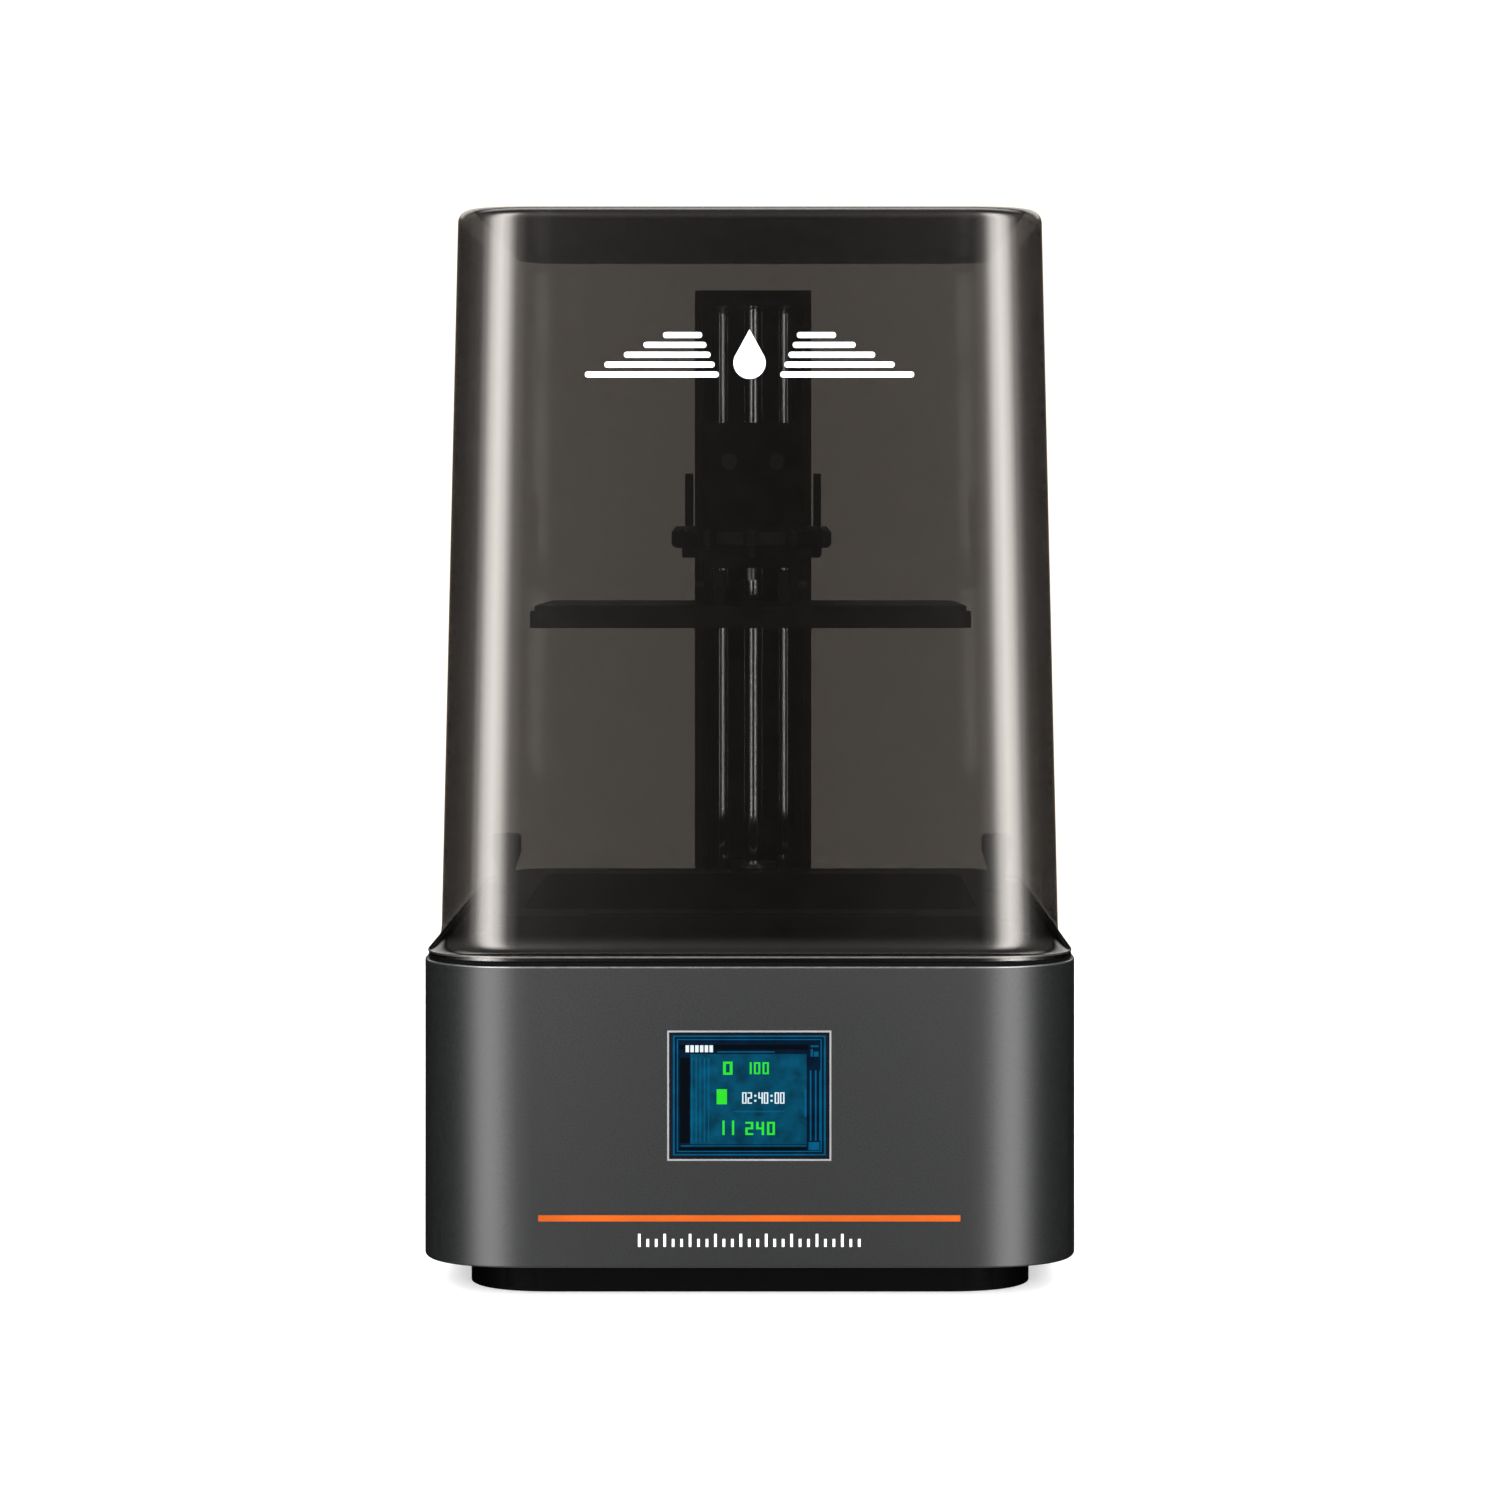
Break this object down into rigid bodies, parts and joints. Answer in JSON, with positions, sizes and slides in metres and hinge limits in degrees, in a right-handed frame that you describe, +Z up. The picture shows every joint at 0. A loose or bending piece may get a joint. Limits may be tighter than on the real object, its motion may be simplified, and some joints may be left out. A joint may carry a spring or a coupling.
{
  "type": "desktop resin 3d printer",
  "caption": "Masked-screen resin printer: smoked lift-off hood over a screw-driven build platform and resin vat, on a rounded base with a touch display.",
  "frame": {"origin": "on the ground at the centre of the footprint", "axes": "+Z up; -Y out of the front, where the display is; +X to the right seen from the front"},
  "size_m": [0.2356, 0.2388, 0.3916],
  "materials": {
    "housing_grey": "satin metallic dark grey moulded shell",
    "hood_smoke": "smoked brown transparent acrylic, polished",
    "pan_black": "satin black moulded plinth",
    "foot_rubber": "matt black rubber",
    "seal_rubber": "black foam rubber",
    "fastener_steel": "zinc plated screws",
    "screw_black": "black oxide screws",
    "deck_black": "bead-blasted black anodised plate",
    "bezel_silver": "pale plated edge round the display",
    "display_face": "display glass with a lit blue interface",
    "circuit_green": "solder-masked circuit board",
    "accent_orange": "glossy orange inlay",
    "lcd_glass": "dark polarised masking screen",
    "tape_black": "black edge tape",
    "carrier_black": "moulded black carrier",
    "lens_clear": "clear moulded lens",
    "reflector_alu": "bright folded sheet",
    "lamp_board": "white solder-masked lamp board",
    "lamp_dome": "clear silicone domes",
    "heatsink_alu": "extruded heat sink",
    "fan_black": "moulded black fan plastic",
    "grille_black": "black grille",
    "chip_black": "component packages",
    "socket_metal": "plated socket shell",
    "socket_black": "black moulded socket",
    "rocker_black": "glossy black rocker",
    "motor_black": "black motor can with bare end caps",
    "mount_alu": "milled aluminium",
    "cable_black": "black sleeved lead",
    "column_black": "black anodised extrusion",
    "rod_chrome": "ground and hard-chromed rod",
    "bearing_steel": "bearing steel",
    "sensor_black": "black photo-interrupter",
    "screw_steel": "rolled trapezoidal lead screw",
    "coupler_alu": "clear anodised coupler",
    "carriage_black": "black anodised carriage and arm",
    "nut_brass": "turned brass nut and bushes",
    "knob_black": "black moulded knob",
    "platform_alu": "sand-blasted anodised platform",
    "vat_black": "black anodised vat frame",
    "film_clear": "clear release film",
    "ring_alu": "clamp ring",
    "thumb_black": "knurled black thumb screw"
  },
  "bodies": {
    "base": {"housing_shell": "housing_grey", "bottom_pan": "pan_black", "rubber_feet": "foot_rubber", "pan_screws": "fastener_steel", "deck_plate": "deck_black", "deck_screws": "fastener_steel", "cover_seal": "seal_rubber", "display_bezel": "bezel_silver", "display_glass": "display_face", "display_module": "circuit_green", "accent_strip": "accent_orange", "exposure_lcd": "lcd_glass", "lcd_tape_frame": "tape_black", "lcd_carrier": "carrier_black", "collimator_lens": "lens_clear", "light_hood": "reflector_alu", "led_board": "lamp_board", "led_domes": "lamp_dome", "heatsink": "heatsink_alu", "led_fan_frame": "fan_black", "exhaust_fan_frame": "fan_black", "exhaust_grille": "grille_black", "mainboard": "circuit_green", "board_parts": "chip_black", "usb_port": "socket_metal", "power_inlet": "socket_black", "switch_frame": "socket_black", "z_motor": "motor_black", "motor_mount": "mount_alu", "motor_cable": "cable_black", "z_column": "column_black", "column_cap": "column_black", "guide_rods": "rod_chrome", "top_bearing": "bearing_steel", "z_endstop": "sensor_black"},
    "led_fan": {"led_fan_rotor": "fan_black"},
    "exhaust_fan": {"exhaust_fan_rotor": "fan_black"},
    "rocker": {"power_rocker": "rocker_black"},
    "screw": {"motor_shaft": "bearing_steel", "shaft_coupler": "coupler_alu", "lead_screw": "screw_steel"},
    "carriage": {"carriage_block": "carriage_black", "rod_bushes": "nut_brass", "drive_nut": "nut_brass", "arm_bracket": "carriage_black", "arm_screws": "screw_black", "endstop_flag": "fastener_steel"},
    "hanger": {"platform_hanger": "carriage_black"},
    "platform": {"build_platform": "platform_alu", "level_screws": "screw_black"},
    "knob": {"platform_knob": "knob_black", "knob_stud": "fastener_steel"},
    "vat": {"vat_frame": "vat_black", "vat_film": "film_clear", "film_ring": "ring_alu", "film_screws": "fastener_steel"},
    "thumb_left": {"thumb_screw_left": "thumb_black"},
    "thumb_right": {"thumb_screw_right": "thumb_black"},
    "hood": {"hood": "hood_smoke"}
  },
  "joints": [
    {"name": "hood_lift", "type": "slide", "parent": "base", "child": "hood", "axis": [0, 0, 1], "range_m": [0, 0.29]},
    {"name": "z_travel", "type": "slide", "parent": "base", "child": "carriage", "axis": [0, 0, 1], "range_m": [-0.119, 0.0452]},
    {"name": "screw_turn", "type": "hinge", "parent": "base", "child": "screw", "pos_m": [0, 0.074, 0.2], "axis": [0, 0, 1], "range_deg": [-2040, 5400]},
    {"name": "platform_release", "type": "slide", "parent": "carriage", "child": "hanger", "axis": [0, -1, 0], "range_m": [0, 0.032]},
    {"name": "platform_level", "type": "hinge", "parent": "hanger", "child": "platform", "pos_m": [0, -0.025, 0.2535], "axis": [1, 0, 0], "range_deg": [-0.8, 0.8]},
    {"name": "knob_turn", "type": "hinge", "parent": "hanger", "child": "knob", "pos_m": [0, -0.025, 0.27], "axis": [0, 0, 1], "range_deg": [0, 720]},
    {"name": "vat_lift", "type": "slide", "parent": "base", "child": "vat", "axis": [0, 0, 1], "range_m": [0, 0.08]},
    {"name": "thumb_left_turn", "type": "hinge", "parent": "vat", "child": "thumb_left", "pos_m": [-0.0955, -0.025, 0.14], "axis": [0, 0, 1], "range_deg": [0, 1080]},
    {"name": "thumb_right_turn", "type": "hinge", "parent": "vat", "child": "thumb_right", "pos_m": [0.0955, -0.025, 0.14], "axis": [0, 0, 1], "range_deg": [0, 1080]},
    {"name": "rocker_tilt", "type": "hinge", "parent": "base", "child": "rocker", "pos_m": [0.11315, 0.066, 0.056], "axis": [0, 1, 0], "range_deg": [0, 20]},
    {"name": "led_fan_spin", "type": "hinge", "parent": "base", "child": "led_fan", "pos_m": [0, -0.025, 0.02], "axis": [0, 0, 1], "continuous": true},
    {"name": "exhaust_fan_spin", "type": "hinge", "parent": "base", "child": "exhaust_fan", "pos_m": [-0.055, 0.108, 0.062], "axis": [0, 1, 0], "continuous": true}
  ],
  "couplings": [
    {"joint": "screw_turn", "follows": "z_travel", "rad_per_m": -785.4}
  ]
}
